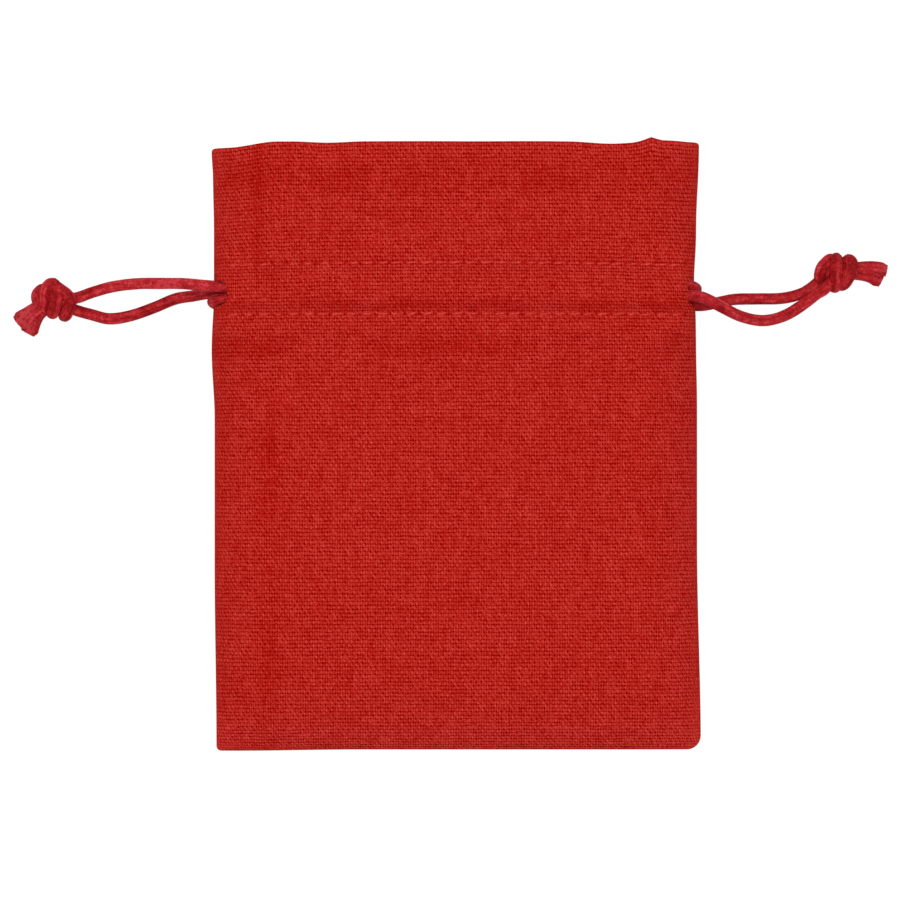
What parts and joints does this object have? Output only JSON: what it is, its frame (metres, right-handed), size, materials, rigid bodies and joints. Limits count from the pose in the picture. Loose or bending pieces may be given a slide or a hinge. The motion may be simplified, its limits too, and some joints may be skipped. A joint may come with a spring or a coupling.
{
  "type": "gift pouch",
  "caption": "Small drawstring gift pouch of plain-weave cloth, open at the mouth, with a stitched casing and knotted drawcords leaving it at both sides.",
  "frame": {"origin": "middle of the cloth's width and height, on the surface that the pouch lies on", "axes": "+Y up the pouch to its mouth, +Z out of its front, +X to the right seen from the front"},
  "size_m": [0.144, 0.1006, 0.0112],
  "materials": {
    "linen": "matte plain weave",
    "cord": "waxed, slight sheen"
  },
  "bodies": {
    "root": {"pouch_cloth": "linen", "left_drawcord": "cord", "right_drawcord": "cord", "left_knot": "cord", "right_knot": "cord"}
  },
  "joints": []
}
